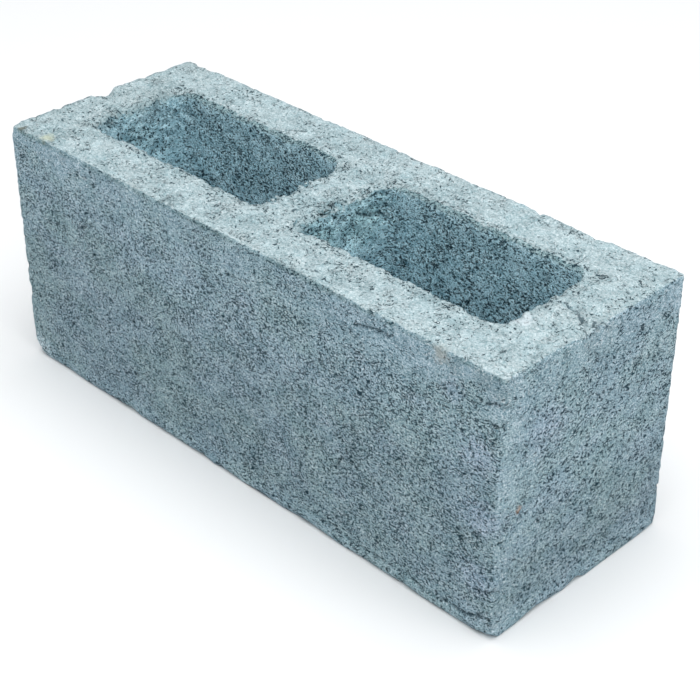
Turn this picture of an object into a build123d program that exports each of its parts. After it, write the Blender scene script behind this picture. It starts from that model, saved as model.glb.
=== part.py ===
"""Hollow concrete block with tapered cores right through it, cast in one piece.

Origin at the centre of the underside. +X runs along the block, +Y across it towards the
back, and +Z up, along the cores. All lengths are in millimetres.
"""

from build123d import *

import math
import os
from dataclasses import dataclass

# Outer size of the block
block_length = 390
block_width = 140
block_height = 160

# Wall thicknesses on the top bed, where the cores are widest
end_wall = 35
centre_web = 36
face_shell = 36

# The cores narrow downwards on every side, so that the mould lifts off the fresh block
core_count = 2
core_draft = 3
core_corner_radius = 9
core_mouth_radius = 2

# Rounding that the mould and handling leave on the arrises
upright_arris_radius = 3
bed_arris_radius = 1.5

# The largest spall on an outer arris: how long, and how deep into the arris
spall_length = 46
spall_depth = 5.6

# The largest crumbled hollow on the arris of a core mouth
crumble_length = 28
crumble_depth = 5

# The largest dent in a core wall
dent_length = 17
dent_depth = 2.4

# How far the wear of the worst corner reaches along its arrises
corner_wear_reach = 14
corner_overrun = 1

half_length = block_length / 2
half_width = block_width / 2
half_web = centre_web / 2
core_length = (block_length - 2 * end_wall - (core_count - 1) * centre_web) / core_count
core_width = block_width - 2 * face_shell
core_pitch = core_length + centre_web
core_taper = math.degrees(math.atan(core_draft / block_height))


@dataclass
class Arris:
    """A straight edge of the block, with the way that points out of it between its faces."""

    start: Vector
    end: Vector
    outward: Vector

    def at(self, place_share):
        """Point on the arris at a share of its length."""
        return self.start + (self.end - self.start) * place_share


@dataclass
class CoreWall:
    """A flat wall of a core below a mouth arris, with its drop to the foot of the core."""

    mouth: Arris
    drop: Vector
    outward: Vector

    def at(self, place_share, drop_share):
        """Point on the wall at a share of the mouth's length and a share of the drop."""
        return self.mouth.at(place_share) + self.drop * drop_share


# Corners are named as seen in front of the block: left or right, front or back
left_front_top = Vector(-half_length, -half_width, block_height)
left_back_top = Vector(-half_length, half_width, block_height)
right_front_top = Vector(half_length, -half_width, block_height)
right_back_top = Vector(half_length, half_width, block_height)
left_front_foot = Vector(-half_length, -half_width, 0)
right_front_foot = Vector(half_length, -half_width, 0)
right_back_foot = Vector(half_length, half_width, 0)

back_top = Arris(left_back_top, right_back_top, Vector(0, 1, 1).normalized())
left_top = Arris(left_front_top, left_back_top, Vector(-1, 0, 1).normalized())
front_foot = Arris(left_front_foot, right_front_foot, Vector(0, -1, -1).normalized())
right_foot = Arris(right_front_foot, right_back_foot, Vector(1, 0, -1).normalized())
right_top = Arris(right_front_top, right_back_top, Vector(1, 0, 1).normalized())
right_upright = Arris(right_back_foot, right_back_top, Vector(1, 1, 0).normalized())


def mouth_arris(x, side):
    """Arris across the block between the top bed and a core wall that faces this side in X."""
    front = Vector(x, -core_width / 2, block_height)
    back = Vector(x, core_width / 2, block_height)
    return Arris(front, back, Vector(side, 0, 1).normalized())


left_end_mouth = mouth_arris(end_wall - half_length, 1)
web_left_mouth = mouth_arris(-half_web, -1)
web_right_mouth = mouth_arris(half_web, 1)

left_end_wall = CoreWall(left_end_mouth, Vector(core_draft, 0, -block_height), Vector(1, 0, 0))
web_right_wall = CoreWall(web_right_mouth, Vector(core_draft, 0, -block_height), Vector(1, 0, 0))

# Spalls: the arris, the place along it as a share of the arris, and the length and depth as
# shares of the largest spall
spall_shares = [
    (back_top, 0.032, 0.17, 0.46),
    (back_top, 0.52, 1.00, 0.20),
    (back_top, 0.83, 0.90, 0.28),
    (left_top, 0.495, 0.33, 1.00),
    (left_top, 0.84, 0.30, 0.23),
    (front_foot, 0.63, 0.34, 0.51),
    (front_foot, 0.20, 0.85, 0.30),
    (front_foot, 0.83, 1.00, 0.26),
    (right_foot, 0.27, 0.22, 0.43),
    (right_foot, 0.49, 0.20, 0.45),
    (right_top, 0.42, 0.38, 0.49),
    (right_upright, 0.60, 1.00, 0.30),
]

# Crumbled hollows: the mouth arris, the place along it as a share of the arris, and the
# length and depth as shares of the largest
crumble_shares = [
    (left_end_mouth, 0.22, 0.85, 0.85),
    (left_end_mouth, 0.55, 1.00, 1.00),
    (left_end_mouth, 0.84, 0.60, 0.70),
    (web_left_mouth, 0.14, 0.55, 0.70),
    (web_left_mouth, 0.37, 0.70, 1.00),
    (web_left_mouth, 0.72, 0.80, 0.60),
    (web_right_mouth, 0.13, 0.75, 0.95),
    (web_right_mouth, 0.44, 0.85, 0.75),
    (web_right_mouth, 0.76, 0.60, 0.85),
]

# Dents: the wall, the place on it as shares of the mouth and of the drop, and the length and
# depth as shares of the largest
dent_shares = [
    (left_end_wall, 0.36, 0.15, 1.00, 0.90),
    (left_end_wall, 0.68, 0.21, 0.85, 0.80),
    (web_right_wall, 0.24, 0.17, 1.00, 1.00),
    (web_right_wall, 0.60, 0.15, 0.90, 0.90),
    (web_right_wall, 0.44, 0.29, 0.95, 0.90),
    (web_right_wall, 0.76, 0.30, 0.90, 0.80),
]

# Worn corners: the corner, the side of the block that it is on along each axis, and the
# reach as a share of the largest
corner_wear_shares = [
    (left_front_top, Vector(-1, -1, 1), 0.80),
    (left_back_top, Vector(-1, 1, 1), 0.35),
    (right_front_top, Vector(1, -1, 1), 0.40),
    (right_back_top, Vector(1, 1, 1), 0.45),
    (left_front_foot, Vector(-1, -1, -1), 1.00),
    (right_front_foot, Vector(1, -1, -1), 0.80),
    (right_back_foot, Vector(1, 1, -1), 0.65),
]


def hollow_radius(length, depth):
    """Radius of the ball that scoops a hollow of this length and depth."""
    return (length**2 / 4 + depth**2) / (2 * depth)


def scoop(place, outward, length, depth):
    """Scoops a hollow with a ball whose surface dips below a place by the depth."""
    radius = hollow_radius(length, depth)
    with Locations(place + outward * (radius - depth)):
        Sphere(radius, mode=Mode.SUBTRACT)


with BuildPart() as corner_waste:
    # A cube over each worn corner, less the ball that the wear leaves of the block there
    for corner, side, reach_share in corner_wear_shares:
        reach = reach_share * corner_wear_reach
        cube_size = reach + corner_overrun
        with Locations(corner - side * (reach - corner_overrun) / 2):
            Box(cube_size, cube_size, cube_size)
    for corner, side, reach_share in corner_wear_shares:
        reach = reach_share * corner_wear_reach
        with Locations(corner - side * reach):
            Sphere(reach * math.sqrt(2), mode=Mode.SUBTRACT)

with BuildPart() as concrete_block:
    # The body, with its upright arrises rounded and its two beds eased all round
    with BuildSketch() as footprint:
        RectangleRounded(block_length, block_width, upright_arris_radius)
    extrude(amount=block_height)
    beds = concrete_block.faces().filter_by(Axis.Z)
    fillet(beds.edges(), bed_arris_radius)

    # The cores, cut down from the top bed and narrowing on the way
    with BuildSketch(Plane.XY.offset(block_height)) as core_mouths:
        with GridLocations(core_pitch, core_width, core_count, 1):
            RectangleRounded(core_length, core_width, core_corner_radius)
    extrude(amount=-block_height, taper=core_taper, mode=Mode.SUBTRACT)

    # The mouths of the cores, eased on both beds
    beds = concrete_block.faces().filter_by(Axis.Z)
    mouth_edges = [edge for bed in beds for wire in bed.inner_wires() for edge in wire.edges()]
    fillet(mouth_edges, core_mouth_radius)

    # Spalls along the outer arrises
    for arris, place_share, length_share, depth_share in spall_shares:
        scoop(arris.at(place_share), arris.outward, length_share * spall_length, depth_share * spall_depth)

    # Crumbled hollows along the mouth arrises of the left end and the web
    for arris, place_share, length_share, depth_share in crumble_shares:
        scoop(
            arris.at(place_share), arris.outward, length_share * crumble_length, depth_share * crumble_depth
        )

    # Dents in the core walls below them
    for wall, place_share, drop_share, length_share, depth_share in dent_shares:
        place = wall.at(place_share, drop_share)
        scoop(place, wall.outward, length_share * dent_length, depth_share * dent_depth)

    # Corners worn round in handling
    add(corner_waste.part, mode=Mode.SUBTRACT)

concrete_block.part.label = "concrete_block"

os.makedirs("parts", exist_ok=True)
export_step(concrete_block.part, "parts/concrete_block.step")
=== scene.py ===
"""Hollow concrete block with a pair of tapered cores, open textured and worn at its arrises.

The block is modelled from one cube, chipped, made uneven with procedural relief, and dressed in
a weathered concrete. All lengths are in metres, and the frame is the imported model's: the origin
is the centre of the underside, +X runs along the block, +Y across it to the back, and +Z up.
"""

import logging
import math
from dataclasses import dataclass, field
from enum import Enum
from typing import Callable, Sequence

import bmesh
import bpy
import numpy as np
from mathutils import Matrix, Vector


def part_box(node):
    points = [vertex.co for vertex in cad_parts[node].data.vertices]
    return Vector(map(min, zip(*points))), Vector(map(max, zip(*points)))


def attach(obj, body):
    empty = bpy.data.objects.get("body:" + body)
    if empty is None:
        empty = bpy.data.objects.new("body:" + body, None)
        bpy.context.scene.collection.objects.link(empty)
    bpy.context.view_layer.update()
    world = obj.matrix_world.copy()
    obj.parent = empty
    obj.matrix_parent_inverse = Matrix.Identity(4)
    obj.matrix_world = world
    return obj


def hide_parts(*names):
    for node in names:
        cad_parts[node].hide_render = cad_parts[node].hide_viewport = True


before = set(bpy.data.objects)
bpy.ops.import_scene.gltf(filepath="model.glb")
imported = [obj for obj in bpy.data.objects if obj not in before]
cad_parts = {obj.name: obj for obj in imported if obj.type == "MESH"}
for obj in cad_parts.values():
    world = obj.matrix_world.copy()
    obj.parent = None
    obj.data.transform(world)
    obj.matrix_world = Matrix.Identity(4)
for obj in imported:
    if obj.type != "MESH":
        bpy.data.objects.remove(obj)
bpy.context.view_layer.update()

MM = 0.001
NODE = "concrete_block"
BODY = "root"
CRACK_ATTRIBUTE = "crack"

# Ways in the block's frame
TO_RIGHT = Vector((1, 0, 0))
TO_FRONT = Vector((0, -1, 0))
TO_BACK = Vector((0, 1, 0))
UPWARD = Vector((0, 0, 1))

Colour = tuple[float, float, float]
Socket = bpy.types.NodeSocket

log = logging.getLogger("block")


class Basis(Enum):
    """Kinds of noise that a relief is made from."""

    CLOUD = "BLENDER_ORIGINAL"
    COBBLE = "VORONOI_F2_F1"


class Element(Enum):
    """Parts of a mesh in edit mode that can be selected."""

    FACE = "faces"
    EDGE = "edges"


class Zone(Enum):
    """Parts of the surface that have a relief of their own."""

    ALL = "all"
    OUTER_ARRIS = "outer_arris"
    CORE_MOUTH = "core_mouth"
    TOP_BED = "top_bed"
    WEB = "web"
    CRUMBLED = "crumbled"
    FRONT_FOOT = "front_foot"
    HIDDEN = "hidden"
    CRACK = "crack"


@dataclass(frozen=True)
class Arris:
    """A straight edge of the block between two of its faces.

    start, end: the ends of the arris.
    outward: the way out of the block, between the two faces.
    """

    start: Vector
    end: Vector
    outward: Vector

    def at(self, place_share: float) -> Vector:
        """Returns the point at a share of the arris's length."""
        return self.start.lerp(self.end, place_share)


@dataclass(frozen=True)
class Hollow:
    """A round hollow that a ball leaves in the surface.

    place: its middle on the whole surface or arris.
    outward: the way out of the block there.
    length, depth: how long it is, and how far it dips below its place.
    """

    place: Vector
    outward: Vector
    length: float
    depth: float

    @property
    def radius(self) -> float:
        """The ball's radius."""
        return (self.length**2 / 4 + self.depth**2) / (2 * self.depth)

    @property
    def centre(self) -> Vector:
        """The ball's middle."""
        return self.place + self.outward * (self.radius - self.depth)


@dataclass(frozen=True)
class Relief:
    """One layer of unevenness, which only ever lowers the surface.

    size: about how far its features lie apart.
    depth: how far its deepest places lie under the surface.
    floor_share, rim_share: the noise values at which a hollow is deepest and at which it ends.
    """

    name: str
    size: float
    depth: float
    floor_share: float
    rim_share: float
    zone: Zone = Zone.ALL
    basis: Basis = Basis.CLOUD
    octaves: int = 1

    def texture(self) -> bpy.types.Texture:
        """Makes the noise of this relief, black in the hollows and white elsewhere.

        Returns:
            The new texture.
        """
        texture = bpy.data.textures.new(self.name, type="CLOUDS")
        texture.noise_basis = self.basis.value
        texture.noise_scale = self.size
        texture.noise_depth = self.octaves
        texture.use_color_ramp = True
        ramp = texture.color_ramp
        ramp.interpolation = "EASE"
        ramp.elements[0].position = self.floor_share
        ramp.elements[0].color = (0, 0, 0, 1)
        ramp.elements[1].position = self.rim_share
        ramp.elements[1].color = (1, 1, 1, 1)
        return texture

    def press(self, piece: bpy.types.Object) -> None:
        """Presses the hollows of this relief into a piece.

        Args:
            piece: the object to make uneven, with its zones painted as vertex groups.
        """
        modifier = piece.modifiers.new(self.name, "DISPLACE")
        modifier.texture = self.texture()
        modifier.texture_coords = "LOCAL"
        modifier.direction = "NORMAL"
        modifier.mid_level = 1.0
        modifier.strength = self.depth
        if self.zone is not Zone.ALL:
            modifier.vertex_group = self.zone.value
        apply_modifier(piece, modifier)


@dataclass(frozen=True)
class Crack:
    """A crack, or a pock, along a line of points on one face.

    points: the places that it passes.
    outward: the way out of that face.
    width: how far its sides lie apart.
    slack: how far under the face its floor may lie.
    """

    points: Sequence[Vector]
    outward: Vector
    width: float
    slack: float = 0.004

    def nearness(self, places: np.ndarray) -> np.ndarray:
        """Measures how near places lie to the crack.

        Args:
            places: an array of points, one a row.

        Returns:
            1 on the crack's line, and 0 from half its width away.
        """
        nearest = np.full(len(places), np.inf)
        outward = np.array(self.outward)
        for start, end in zip(self.points, self.points[1:]):
            origin, run = np.array(start), np.array(end - start)
            share = np.clip((places - origin) @ run / (run @ run), 0, 1)
            offset = places - origin - share[:, None] * run
            height = offset @ outward
            aside = np.linalg.norm(offset - height[:, None] * outward, axis=1)
            nearest = np.minimum(nearest, np.hypot(aside, np.maximum(np.abs(height) - self.slack, 0)))
        return np.clip(1 - nearest / (self.width / 2), 0, 1)


@dataclass(frozen=True)
class Face:
    """A flat face of the block, on which marks are placed by two measures.

    origin: the point that both measures start from.
    first_way, second_way: the ways in which they are taken.
    outward: the way out of the block.
    pock_way: the way in which the face's pocks are drawn out.
    pock_width, pock_half_length: how wide a pock is, and how far it is drawn out to each side.
    """

    origin: Vector
    first_way: Vector
    second_way: Vector
    outward: Vector
    pock_way: Vector
    pock_width: float = 0.0036
    pock_half_length: float = 0.001

    def at(self, first: float, second: float) -> Vector:
        """Returns the point at two measures."""
        return self.origin + self.first_way * first + self.second_way * second

    def crack(self, width_mm: float, *points: tuple[float, float]) -> Crack:
        """Returns a crack of a width, in millimetres, along a line of points."""
        return Crack([self.at(*point) for point in points], self.outward, width_mm * MM)

    def pock(self, first: float, second: float) -> Crack:
        """Returns the short wide crack that makes a pock."""
        place, reach = self.at(first, second), self.pock_way * self.pock_half_length
        return Crack([place - reach, place + reach], self.outward, self.pock_width)


@dataclass(frozen=True)
class Stain:
    """A soft spot of another colour on the concrete.

    place: its middle.
    reach: how far it spreads.
    colour: its colour.
    strength: how much of the concrete's own colour it covers, from 0 to 1.
    """

    place: Vector
    reach: float
    colour: tuple[float, float, float]
    strength: float


def deselect_everything() -> None:
    """Leaves object mode, and deselects every object."""
    if bpy.context.object and bpy.context.object.mode != "OBJECT":
        bpy.ops.object.mode_set(mode="OBJECT")
    bpy.ops.object.select_all(action="DESELECT")


def make_active(piece: bpy.types.Object) -> None:
    """Selects one piece alone, and makes it active.

    Args:
        piece: the object to work on.
    """
    deselect_everything()
    piece.select_set(True)
    bpy.context.view_layer.objects.active = piece


def apply_modifier(piece: bpy.types.Object, modifier: bpy.types.Modifier) -> None:
    """Applies a modifier to the mesh that carries it.

    Args:
        piece: the object with the modifier.
        modifier: the modifier to apply.
    """
    make_active(piece)
    bpy.ops.object.modifier_apply(modifier=modifier.name)


def cut_away(piece: bpy.types.Object, cutter: bpy.types.Object) -> None:
    """Cuts one object out of another, and removes it.

    Args:
        piece: the object that is cut.
        cutter: the object to cut with.
    """
    modifier = piece.modifiers.new("cut", "BOOLEAN")
    modifier.operation = "DIFFERENCE"
    modifier.solver = "EXACT"
    modifier.object = cutter
    apply_modifier(piece, modifier)
    bpy.data.objects.remove(cutter)


def select(element: Element, test: Callable[..., bool]) -> None:
    """Selects the faces or edges of the mesh in edit mode that pass a test, and no others.

    Args:
        element: whether faces or edges are selected.
        test: says whether a face or an edge is to be selected.
    """
    mesh = bmesh.from_edit_mesh(bpy.context.object.data)
    bpy.ops.mesh.select_all(action="DESELECT")
    bpy.ops.mesh.select_mode(type=element.name)
    chosen = [part for part in getattr(mesh, element.value) if test(part)]
    for part in chosen:
        part.select_set(True)
    bmesh.update_edit_mesh(bpy.context.object.data)


def vertex_places(piece: bpy.types.Object) -> np.ndarray:
    """Reads where a piece's vertices are.

    Args:
        piece: the object to read.

    Returns:
        An array of points, one a row.
    """
    places = np.empty(len(piece.data.vertices) * 3, np.float64)
    piece.data.vertices.foreach_get("co", places)
    return places.reshape(-1, 3)


def paint_zone(piece: bpy.types.Object, zone: Zone, weights: np.ndarray, steps: int = 20) -> None:
    """Paints a zone on a piece as a vertex group.

    Args:
        piece: the object to paint.
        zone: the zone, whose value names the group.
        weights: a weight from 0 to 1 for each vertex.
        steps: how many weights above 0 are told apart.
    """
    group = piece.vertex_groups.new(name=zone.value)
    levels = np.rint(np.clip(weights, 0, 1) * steps).astype(int)
    for level in range(1, steps + 1):
        group.add(np.flatnonzero(levels == level).tolist(), level / steps, "REPLACE")


@dataclass
class CoredBlock:
    """The block's body: a cube with two drafted cores, its worn arrises and its rough faces."""

    low: Vector
    high: Vector

    # Walls on the top bed, where the cores are widest
    end_wall: float = 0.035
    centre_web: float = 0.036
    face_shell: float = 0.036

    # The cores narrow downwards on every side
    core_count: int = 2
    core_draft: float = 0.003
    core_corner_radius: float = 0.009
    core_mouth_radius: float = 0.0022

    # Rounding that the mould and handling leave on the arrises
    upright_arris_radius: float = 0.003
    bed_arris_radius: float = 0.0012

    # The largest spall on an outer arris: how long, and how deep into the arris
    spall_length: float = 0.046
    spall_depth: float = 0.0056

    # The largest crumbled hollow on the arris of a core mouth, and the largest dent in a core wall
    crumble_length: float = 0.028
    crumble_depth: float = 0.005
    dent_length: float = 0.017
    dent_depth: float = 0.0024

    # How far the wear of the worst corner reaches along its arrises
    corner_wear_reach: float = 0.014
    corner_overrun: float = 0.001

    # How rough the broken faces are
    ball_relief: float = 0.0014

    # How the surface is divided. Triangles are joined most on the underside and, below a drop, in
    # the cores
    voxel: float = 0.0011
    most_triangles: int = 190_000
    open_weight: float = 0.35
    hidden_drop: float = 0.060
    underside_reach: float = 0.003

    # How far the crumbling of an arris reaches from it
    outer_arris_reach: float = 0.005
    core_mouth_reach: float = 0.006
    front_foot_reach: float = 0.012

    # How far the wear of the bed reaches down, and how weak it is at its rims and mouth corners
    bed_reach_mm: float = 1.5
    rim_weight: float = 0.2
    spared_weight: float = 0.1
    spared_reach: float = 0.014

    # How far the flakes of the web and the crumbling of the core walls reach
    web_reach: float = 0.009
    web_drop: float = 0.045
    web_overrun: float = 0.020
    crumbled_reach: float = 0.007
    crumbled_drop: float = 0.050
    crumbled_overrun: float = 0.006
    crumbled_gain: float = 1.6

    # The slopes, as the upright part of a face's normal, that tell beds from walls
    bed_slope: float = 0.9
    wall_slope: float = 0.2

    reliefs: Sequence[Relief] = ()
    cracks: Sequence[Crack] = ()

    piece: bpy.types.Object = field(init=False, default=None)

    @property
    def half_length(self) -> float:
        """Half the block's length."""
        return (self.high.x - self.low.x) / 2

    @property
    def half_width(self) -> float:
        """Half the block's width."""
        return (self.high.y - self.low.y) / 2

    @property
    def height(self) -> float:
        """The block's height."""
        return self.high.z - self.low.z

    @property
    def core_length(self) -> float:
        """The length of a core's mouth on the top bed."""
        walls = 2 * self.end_wall + (self.core_count - 1) * self.centre_web
        return (2 * self.half_length - walls) / self.core_count

    @property
    def core_half_width(self) -> float:
        """Half the width of a core's mouth on the top bed."""
        return self.half_width - self.face_shell

    def core_centres(self) -> list[float]:
        """Finds the middles of the cores.

        Returns:
            Their places along the block.
        """
        pitch = self.core_length + self.centre_web
        first = -pitch * (self.core_count - 1) / 2
        return [first + pitch * number for number in range(self.core_count)]

    def build(self) -> bpy.types.Object:
        """Models the whole body.

        Returns:
            The finished object, at the origin.
        """
        self.cast_body()
        self.cut_cores()
        self.ease_arrises()
        self.knock_about()
        self.refine()
        self.paint_zones()
        for relief in self.reliefs:
            relief.press(self.piece)
        self.thin_out()
        return self.piece

    def cast_body(self) -> None:
        """Adds the cube and scales it to the block's outer size."""
        deselect_everything()
        middle = (self.low + self.high) / 2
        bpy.ops.mesh.primitive_cube_add(size=1, location=middle, scale=self.high - self.low)
        self.piece = bpy.context.object
        self.piece.name = self.piece.data.name = "weathered_block"
        bpy.ops.object.transform_apply(location=True, rotation=True, scale=True)

    def cut_cores(self) -> None:
        """Divides the beds at the core walls, narrows each core's foot, and bridges it to its mouth."""
        bpy.ops.object.mode_set(mode="EDIT")
        sides = [centre + side * self.core_length / 2 for centre in self.core_centres() for side in (-1, 1)]
        for place in sides:
            bpy.ops.mesh.select_all(action="SELECT")
            bpy.ops.mesh.bisect(plane_co=(place, 0, 0), plane_no=(1, 0, 0))
        for side in (-1, 1):
            bpy.ops.mesh.select_all(action="SELECT")
            bpy.ops.mesh.bisect(plane_co=(0, side * self.core_half_width, 0), plane_no=(0, 1, 0))
        foot_scale = (
            1 - 2 * self.core_draft / self.core_length,
            1 - self.core_draft / self.core_half_width,
            1,
        )
        for centre in self.core_centres():
            mouth, foot = Vector((centre, 0, self.high.z)), Vector((centre, 0, self.low.z))
            select(Element.FACE, lambda face: (face.calc_center_median() - foot).length < MM)
            bpy.ops.transform.resize(value=foot_scale, center_override=foot)
            select(
                Element.FACE,
                lambda face: min((face.calc_center_median() - end).length for end in (mouth, foot)) < MM,
            )
            bpy.ops.mesh.bridge_edge_loops()
        select(Element.EDGE, self.is_core_upright)
        bpy.ops.mesh.bevel(offset=self.core_corner_radius, segments=6, affect="EDGES")
        bpy.ops.object.mode_set(mode="OBJECT")

    def is_core_upright(self, edge: bmesh.types.BMEdge) -> bool:
        """Says whether an edge runs down a corner of a core.

        Args:
            edge: the edge.

        Returns:
            Whether it does.
        """
        top, foot = sorted((vert.co for vert in edge.verts), key=lambda place: -place.z)
        inside = max(abs(top.y), abs(foot.y)) < self.core_half_width + MM
        return top.z - foot.z > self.height / 2 and inside and abs(top.x) < self.half_length - MM

    def ease_arrises(self) -> None:
        """Rounds the uprights, then the edges of both beds, round the outside and the core mouths."""
        bpy.ops.object.mode_set(mode="EDIT")
        select(Element.EDGE, lambda edge: all(self.is_outer_corner(vert.co) for vert in edge.verts))
        bpy.ops.mesh.bevel(offset=self.upright_arris_radius, segments=3, affect="EDGES")
        select(Element.EDGE, lambda edge: self.is_bed_edge(edge) and self.is_outside(edge))
        bpy.ops.mesh.bevel(offset=self.bed_arris_radius, segments=2, affect="EDGES")
        select(Element.EDGE, lambda edge: self.is_bed_edge(edge) and not self.is_outside(edge))
        bpy.ops.mesh.bevel(offset=self.core_mouth_radius, segments=3, affect="EDGES")
        bpy.ops.object.mode_set(mode="OBJECT")

    def is_outer_corner(self, place: Vector) -> bool:
        """Says whether a place is on one of the four outer uprights."""
        return self.half_length - abs(place.x) < MM / 10 and self.half_width - abs(place.y) < MM / 10

    def is_bed_edge(self, edge: bmesh.types.BMEdge) -> bool:
        """Says whether an edge lies between a bed and an upright wall.

        Args:
            edge: the edge.

        Returns:
            Whether it does.
        """
        if len(edge.link_faces) != 2:
            return False
        slopes = [abs(face.normal.z) for face in edge.link_faces]
        return max(slopes) > self.bed_slope and min(slopes) < self.wall_slope

    def is_outside(self, edge: bmesh.types.BMEdge) -> bool:
        """Says whether an edge lies on the block's outer sides.

        Args:
            edge: the edge.

        Returns:
            Whether it does.
        """
        middle = sum((vert.co for vert in edge.verts), Vector()) / 2
        past_cores = abs(middle.x) > self.half_length - self.end_wall / 2
        return past_cores or abs(middle.y) > self.half_width - self.face_shell / 2

    def corner(self, end: int, side: int, top: bool) -> Vector:
        """Finds a corner of the block.

        Args:
            end: -1 for the left end, 1 for the right one.
            side: -1 for the front, 1 for the back.
            top: whether the corner is on the top bed.

        Returns:
            The corner.
        """
        return Vector((end * self.half_length, side * self.half_width, self.high.z if top else self.low.z))

    def spalls(self) -> list[Hollow]:
        """Lists the spalls along the outer arrises.

        Returns:
            The hollows.
        """
        corner = self.corner
        back_top = Arris(corner(-1, 1, True), corner(1, 1, True), Vector((0, 1, 1)).normalized())
        left_top = Arris(corner(-1, -1, True), corner(-1, 1, True), Vector((-1, 0, 1)).normalized())
        front_foot = Arris(corner(-1, -1, False), corner(1, -1, False), Vector((0, -1, -1)).normalized())
        right_foot = Arris(corner(1, -1, False), corner(1, 1, False), Vector((1, 0, -1)).normalized())
        right_top = Arris(corner(1, -1, True), corner(1, 1, True), Vector((1, 0, 1)).normalized())
        right_upright = Arris(corner(1, 1, False), corner(1, 1, True), Vector((1, 1, 0)).normalized())
        shares = [
            (back_top, 0.032, 0.17, 0.46),
            (back_top, 0.52, 1.00, 0.20),
            (back_top, 0.83, 0.90, 0.28),
            (left_top, 0.495, 0.33, 1.00),
            (left_top, 0.84, 0.30, 0.23),
            (front_foot, 0.63, 0.34, 0.51),
            (front_foot, 0.20, 0.85, 0.30),
            (front_foot, 0.83, 1.00, 0.26),
            (right_foot, 0.27, 0.22, 0.43),
            (right_foot, 0.49, 0.20, 0.45),
            (right_top, 0.42, 0.38, 0.49),
            (right_upright, 0.60, 1.00, 0.30),
        ]
        return [
            Hollow(arris.at(place), arris.outward, length * self.spall_length, depth * self.spall_depth)
            for arris, place, length, depth in shares
        ]

    def mouth_arris(self, place: float, side: int) -> Arris:
        """Finds the arris across the block between the top bed and a core wall.

        Args:
            place: the place of the wall's top along the block.
            side: 1 where the wall faces right, and -1 where it faces left.

        Returns:
            The arris, from the front to the back.
        """
        front = Vector((place, -self.core_half_width, self.high.z))
        back = Vector((place, self.core_half_width, self.high.z))
        return Arris(front, back, Vector((side, 0, 1)).normalized())

    def crumbles(self) -> list[Hollow]:
        """Lists the crumbled hollows on the mouth arrises of the left end and of the web.

        Returns:
            The hollows.
        """
        left_end = self.mouth_arris(self.end_wall - self.half_length, 1)
        web_left = self.mouth_arris(-self.centre_web / 2, -1)
        web_right = self.mouth_arris(self.centre_web / 2, 1)
        shares = [
            (left_end, 0.22, 0.85, 0.85),
            (left_end, 0.55, 1.00, 1.00),
            (left_end, 0.84, 0.60, 0.70),
            (web_left, 0.14, 0.55, 0.70),
            (web_left, 0.37, 0.70, 1.00),
            (web_left, 0.72, 0.80, 0.60),
            (web_right, 0.13, 0.75, 0.95),
            (web_right, 0.44, 0.85, 0.75),
            (web_right, 0.76, 0.60, 0.85),
        ]
        return [
            Hollow(arris.at(place), arris.outward, length * self.crumble_length, depth * self.crumble_depth)
            for arris, place, length, depth in shares
        ]

    def dents(self) -> list[Hollow]:
        """Lists the dents in the core walls under the crumbled mouths.

        Returns:
            The hollows.
        """
        left_end = self.mouth_arris(self.end_wall - self.half_length, 1)
        web_right = self.mouth_arris(self.centre_web / 2, 1)
        drop = Vector((self.core_draft, 0, -self.height))
        shares = [
            (left_end, 0.36, 0.15, 1.00, 0.90),
            (left_end, 0.68, 0.21, 0.85, 0.80),
            (web_right, 0.24, 0.17, 1.00, 1.00),
            (web_right, 0.60, 0.15, 0.90, 0.90),
            (web_right, 0.44, 0.29, 0.95, 0.90),
            (web_right, 0.76, 0.30, 0.90, 0.80),
        ]
        return [
            Hollow(
                mouth.at(place) + drop * fall, TO_RIGHT, length * self.dent_length, depth * self.dent_depth
            )
            for mouth, place, fall, length, depth in shares
        ]

    def worn_corners(self) -> list[tuple[Vector, float]]:
        """Lists the corners that are worn round.

        Returns:
            Each corner, and how far its wear reaches along its arrises.
        """
        shares = [
            (self.corner(-1, -1, True), 0.80),
            (self.corner(-1, 1, True), 0.35),
            (self.corner(1, -1, True), 0.40),
            (self.corner(1, 1, True), 0.45),
            (self.corner(-1, -1, False), 1.00),
            (self.corner(1, -1, False), 0.80),
            (self.corner(1, 1, False), 0.65),
        ]
        return [(corner, share * self.corner_wear_reach) for corner, share in shares]

    def knock_about(self) -> None:
        """Cuts the spalls, the crumbled mouths, the dents and the worn corners."""
        for hollow in [*self.spalls(), *self.crumbles(), *self.dents()]:
            cut_away(self.piece, self.rough_ball(hollow.centre, hollow.radius))
        for corner, reach in self.worn_corners():
            cut_away(self.piece, self.corner_waste(corner, reach))

    def corner_waste(self, corner: Vector, reach: float) -> bpy.types.Object:
        """Models what wear takes off a corner: a cube over it, less the ball that is left.

        Args:
            corner: the corner.
            reach: how far the wear reaches along the arrises.

        Returns:
            The waste.
        """
        way = corner - (self.low + self.high) / 2
        side = Vector((math.copysign(1, way.x), math.copysign(1, way.y), math.copysign(1, way.z)))
        ball = self.rough_ball(corner - side * reach, reach * math.sqrt(2))
        deselect_everything()
        place = corner - side * (reach - self.corner_overrun) / 2
        bpy.ops.mesh.primitive_cube_add(size=reach + self.corner_overrun, location=place)
        waste = bpy.context.object
        bpy.ops.object.transform_apply(location=True, rotation=True, scale=True)
        cut_away(waste, ball)
        return waste

    def rough_ball(self, centre: Vector, radius: float) -> bpy.types.Object:
        """Models a ball with a broken surface, to cut with.

        Args:
            centre: its middle.
            radius: its radius, which its surface strays from by less than a millimetre.

        Returns:
            The ball.
        """
        deselect_everything()
        swollen = radius + self.ball_relief / 2
        bpy.ops.mesh.primitive_ico_sphere_add(subdivisions=5, radius=swollen, location=centre)
        ball = bpy.context.object
        bpy.ops.object.transform_apply(location=True, rotation=True, scale=True)
        Relief("broken_face", 6 * MM, self.ball_relief, 0.30, 0.70, octaves=2).press(ball)
        return ball

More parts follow.
